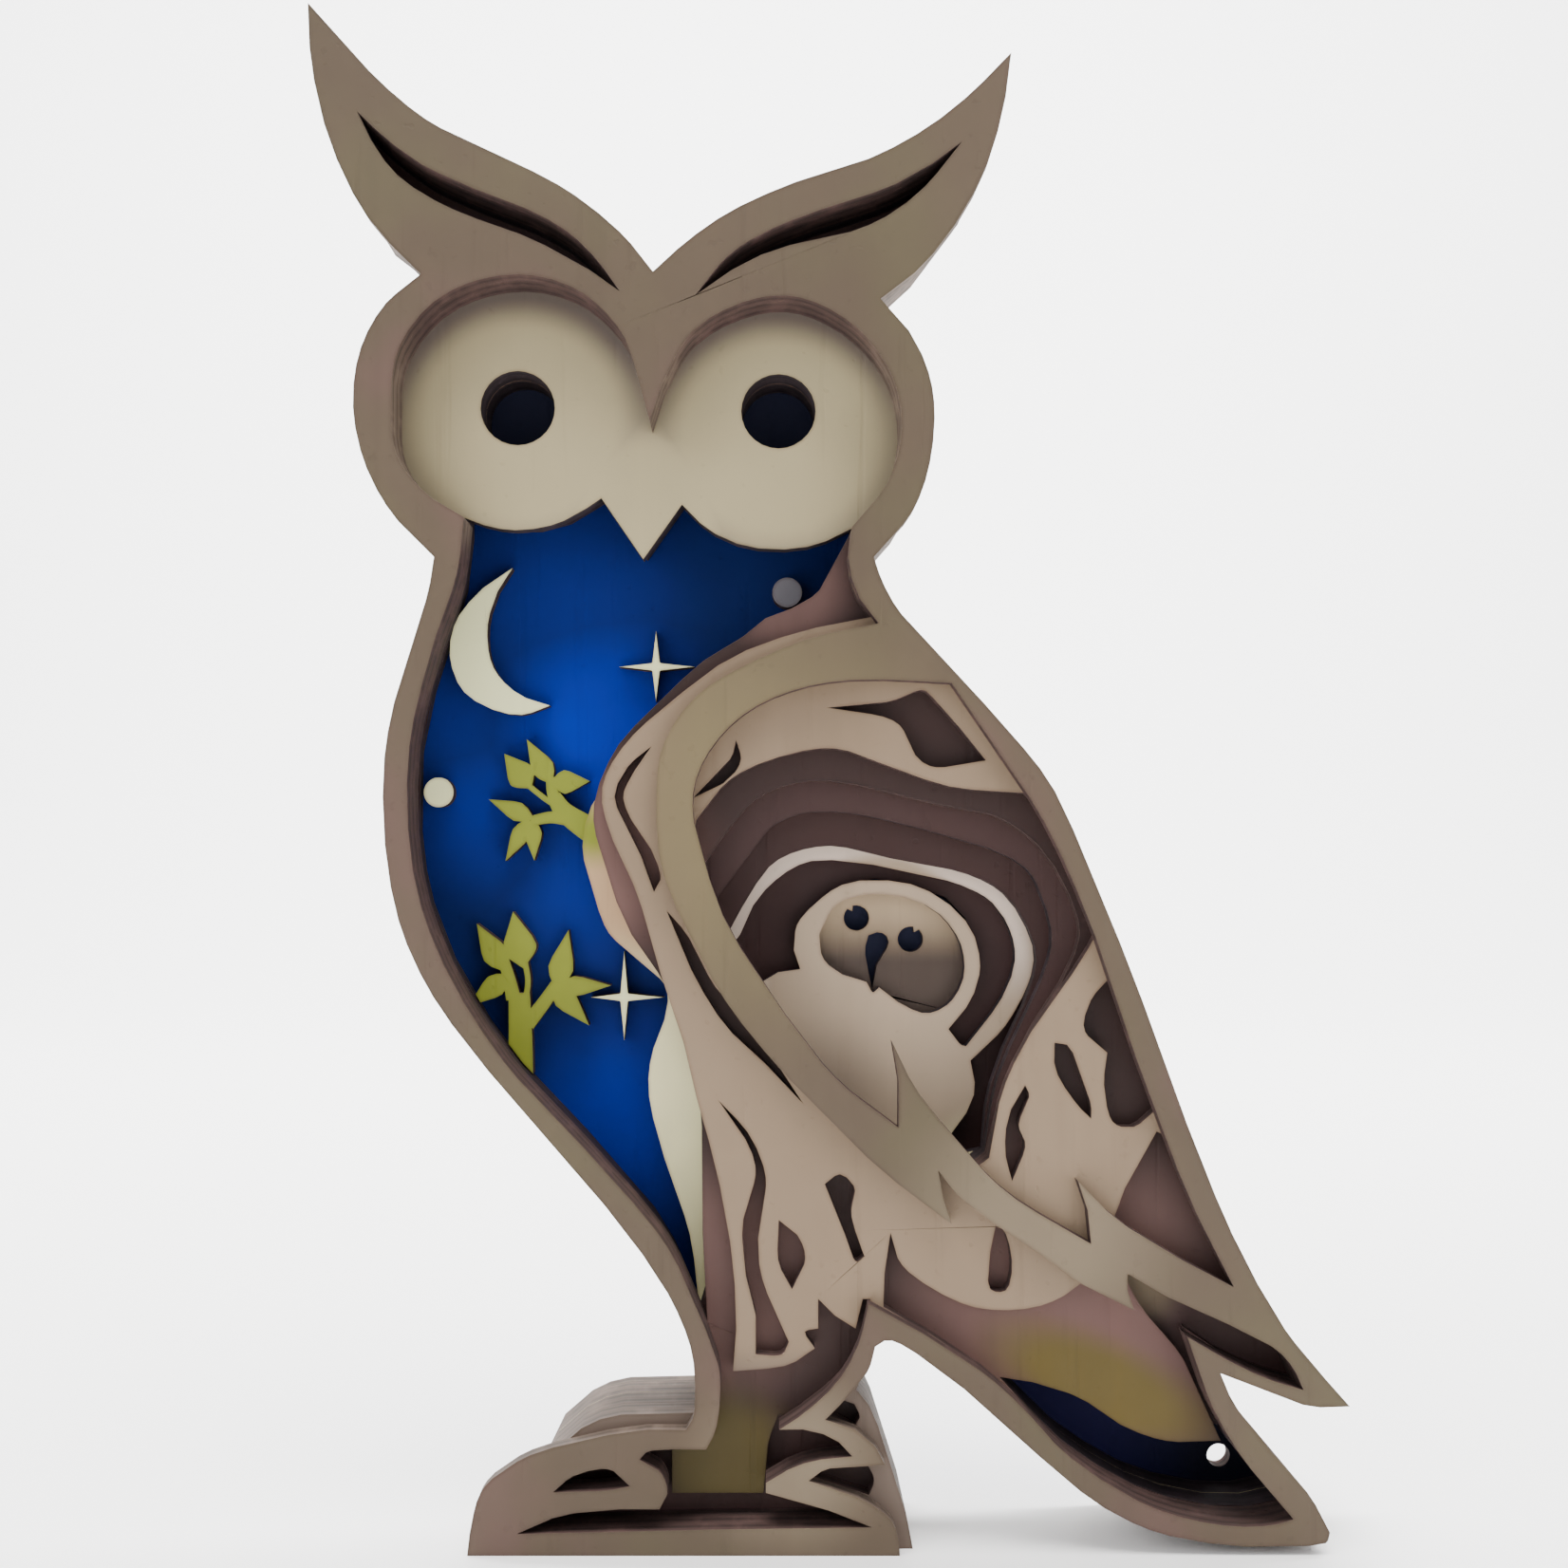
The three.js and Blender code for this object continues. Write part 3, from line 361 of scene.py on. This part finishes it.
SATIN = {"rough": 0.55, "grain": 0.3}
moonlit = finish("moon", MOON_WHITE, 7, **SATIN)
finishes = {
    "front_frame": finish("front_frame", tan, 1, edge=socket_edge),
    "bark_trunk": finish("bark_trunk", bark, 2, edge=socket_edge),
    "mossy_wood": finish("mossy_wood", mossy, 3, edge=socket_edge),
    "hollow_ring_outer": finish("hollow_ring_outer", ring_mauve, 4, edge=SHADOW_EDGE),
    "face_plate": finish("face_plate", face_cream, 4, rough=0.55, grain=0.35, edge=SHADOW_EDGE),
    "hollow_ring_inner": finish("hollow_ring_inner", UMBER, 5, edge=SHADOW_EDGE),
    "owlet_trunk": finish("owlet_trunk", owlet_cream, 6, rough=0.6, grain=0.4, edge=SHADOW_EDGE),
    "hollow_back": finish("hollow_back", RIM_BACK, 7, edge=SHADOW_EDGE),
    "owlet_face": finish("owlet_face", owlet_mask, 7, edge=SHADOW_EDGE),
    "night_board": finish("night_board", night, 8, rough=0.55, grain=0.2, gloss=0.08),
    "moon": moonlit,
    "dot_left": moonlit,
    "star_upper": moonlit,
    "star_lower": moonlit,
    # Painted shade: the right dot is given a dark grey where it sits in shade.
    "dot_right": finish("dim_star", DOT_SHADE, 7, **SATIN),
    "leafy_branch": finish("leafy_branch", OLIVE, 7, **SATIN),
    "leafy_tree": finish("leafy_tree", OLIVE, 7, **SATIN),
}


# Corners closer than a twentieth of a millimetre count as one.
CORNERS_PER_METRE = 20000


def outer_wall(mesh):
    """The polygons of a sheet's outside edge, found by walking round it from its leftmost one."""

    def corner(vertex):
        return tuple(round(c * CORNERS_PER_METRE) for c in mesh.vertices[vertex].co)

    walls = [p for p in mesh.polygons if abs(p.normal.y) < 0.5]
    at = {}
    for p in walls:
        for v in p.vertices:
            at.setdefault(corner(v), []).append(p)
    start = min(walls, key=lambda p: p.center.x)
    found, queue = {start.index}, [start]
    while queue:
        for v in queue.pop().vertices:
            fresh = [p for p in at[corner(v)] if p.index not in found]
            found.update(p.index for p in fresh)
            queue.extend(fresh)
    return found


ARRIS = 0.14 * MM
ARRIS_ANGLE = math.radians(50)
WELD_REACH = 0.01 * MM
FULL_SHEETS = {
    "front_frame": 1, "bark_trunk": 2, "mossy_wood": 3, "hollow_ring_outer": 4,
    "hollow_ring_inner": 5, "owlet_trunk": 6, "hollow_back": 7, "night_board": 8,
}
for name, node in nodes.items():
    mesh = node.data
    mesh.materials.clear()
    mesh.materials.append(finishes[name])
    mesh.polygons.foreach_set("material_index", [0] * len(mesh.polygons))
    if name in FULL_SHEETS:
        front = front_of(FULL_SHEETS[name])
        mesh.materials.append(painted_ply(f"{name}_washed_edge", TAN, front, edge=WASHED_EDGE))
        for i in outer_wall(mesh):
            mesh.polygons[i].material_index = 1
    weld = node.modifiers.new("weld", "WELD")
    weld.merge_threshold = WELD_REACH
    round_over = node.modifiers.new("arris", "BEVEL")
    round_over.width = ARRIS
    round_over.segments = 2
    round_over.limit_method = "ANGLE"
    round_over.angle_limit = ARRIS_ANGLE
    mesh.shade_smooth()
    even = node.modifiers.new("even", "WEIGHTED_NORMAL")
    even.mode = "FACE_AREA"
    even.weight = 80


# ---------------------------------------------------------------- the room
def plain(name, colour, rough):
    """Smooth paper with a faint cloud in its colour and a fine tooth."""
    g = Graph(name)
    cloud = g.noise(3.0, 4, 0.6)
    tooth = g.noise(900, 2, 0.5)
    greyer = tuple(c * 0.93 for c in colour)
    g.put(g.shader.inputs["Base Color"], g.mix(g.math("MULTIPLY", cloud, 0.15), colour, greyer))
    g.put(g.shader.inputs["Roughness"], g.span(cloud, 0.3, 0.7, rough - 0.05, rough + 0.05))
    g.put(g.shader.inputs["Normal"], g.bump(tooth, 0.00003, 0.3))
    return g.material


COVE_FRONT = -3.0
COVE_BEND = 0.9
COVE_RADIUS = 0.6
COVE_STEPS = 12
COVE_TOP = 4.0
COVE_HALF_WIDTH = 4.0


def cove():
    """A floor that curves up into the wall behind the owl; metres."""
    profile = [(COVE_FRONT, 0.0), (COVE_BEND, 0.0)]
    for i in range(1, COVE_STEPS + 1):
        a = math.radians(90 * i / COVE_STEPS)
        back = COVE_BEND + COVE_RADIUS * math.sin(a)
        profile.append((back, COVE_RADIUS * (1 - math.cos(a))))
    profile.append((COVE_BEND + COVE_RADIUS, COVE_TOP))
    verts = [(x, y, z) for y, z in profile for x in (-COVE_HALF_WIDTH, COVE_HALF_WIDTH)]
    faces = [(2 * i, 2 * i + 1, 2 * i + 3, 2 * i + 2) for i in range(len(profile) - 1)]
    mesh = bpy.data.meshes.new("cove")
    mesh.from_pydata(verts, [], faces)
    mesh.shade_smooth()
    piece = bpy.data.objects.new("cove", mesh)
    scene.collection.objects.link(piece)
    mesh.materials.append(plain("cove_paper", PAPER, 0.75))
    return piece


cove()


def lamp(name, at, size, power, colour, aim=(0, 0, 0.11)):
    data = bpy.data.lights.new(name, "AREA")
    data.shape = "RECTANGLE"
    data.size, data.size_y = size
    data.energy = power
    data.color = colour
    piece = bpy.data.objects.new(name, data)
    piece.location = at
    piece.rotation_euler = (Vector(aim) - Vector(at)).to_track_quat("-Z", "Y").to_euler()
    scene.collection.objects.link(piece)


# Each lamp: name, place, size, watts and colour. The last one lights the wall behind the owl.
lamp("overhead", (0.0, -0.30, 1.10), (0.8, 0.5), 20, (1.0, 0.985, 0.96))
lamp("window", (-1.0, -0.9, 0.7), (0.8, 0.9), 9, (0.98, 0.99, 1.0))
lamp("fill", (1.1, -1.1, 0.4), (0.9, 0.9), 4, (1.0, 0.98, 0.96))
lamp("backdrop", (0.0, 0.35, 1.2), (2.2, 0.4), 105, (1.0, 1.0, 1.0), (0, 1.3, 0.35))

ROOM_LIGHT = (0.93, 0.95, 1.0, 1)
ROOM_STRENGTH = 0.75
world = bpy.data.worlds.new("room")
world.use_nodes = True
background = world.node_tree.nodes["Background"]
background.inputs[0].default_value = ROOM_LIGHT
background.inputs[1].default_value = ROOM_STRENGTH
scene.world = world

# ---------------------------------------------------------------- camera
# Level, 0.3 m from the owl, with the lens shifted so that uprights stay upright.
CAMERA_AT = (-0.01046, -0.300, 0.1057)
SENSOR = 36
LENS = 43.9
LENS_SHIFT = (0.0157, 0.0448)

camera_data = bpy.data.cameras.new("camera")
camera_data.sensor_width = SENSOR
camera_data.lens = LENS
camera_data.shift_x, camera_data.shift_y = LENS_SHIFT
camera_data.clip_start = 0.01
camera = bpy.data.objects.new("camera", camera_data)
camera.location = CAMERA_AT
camera.rotation_euler = (math.radians(90), 0, 0)
scene.collection.objects.link(camera)
scene.camera = camera
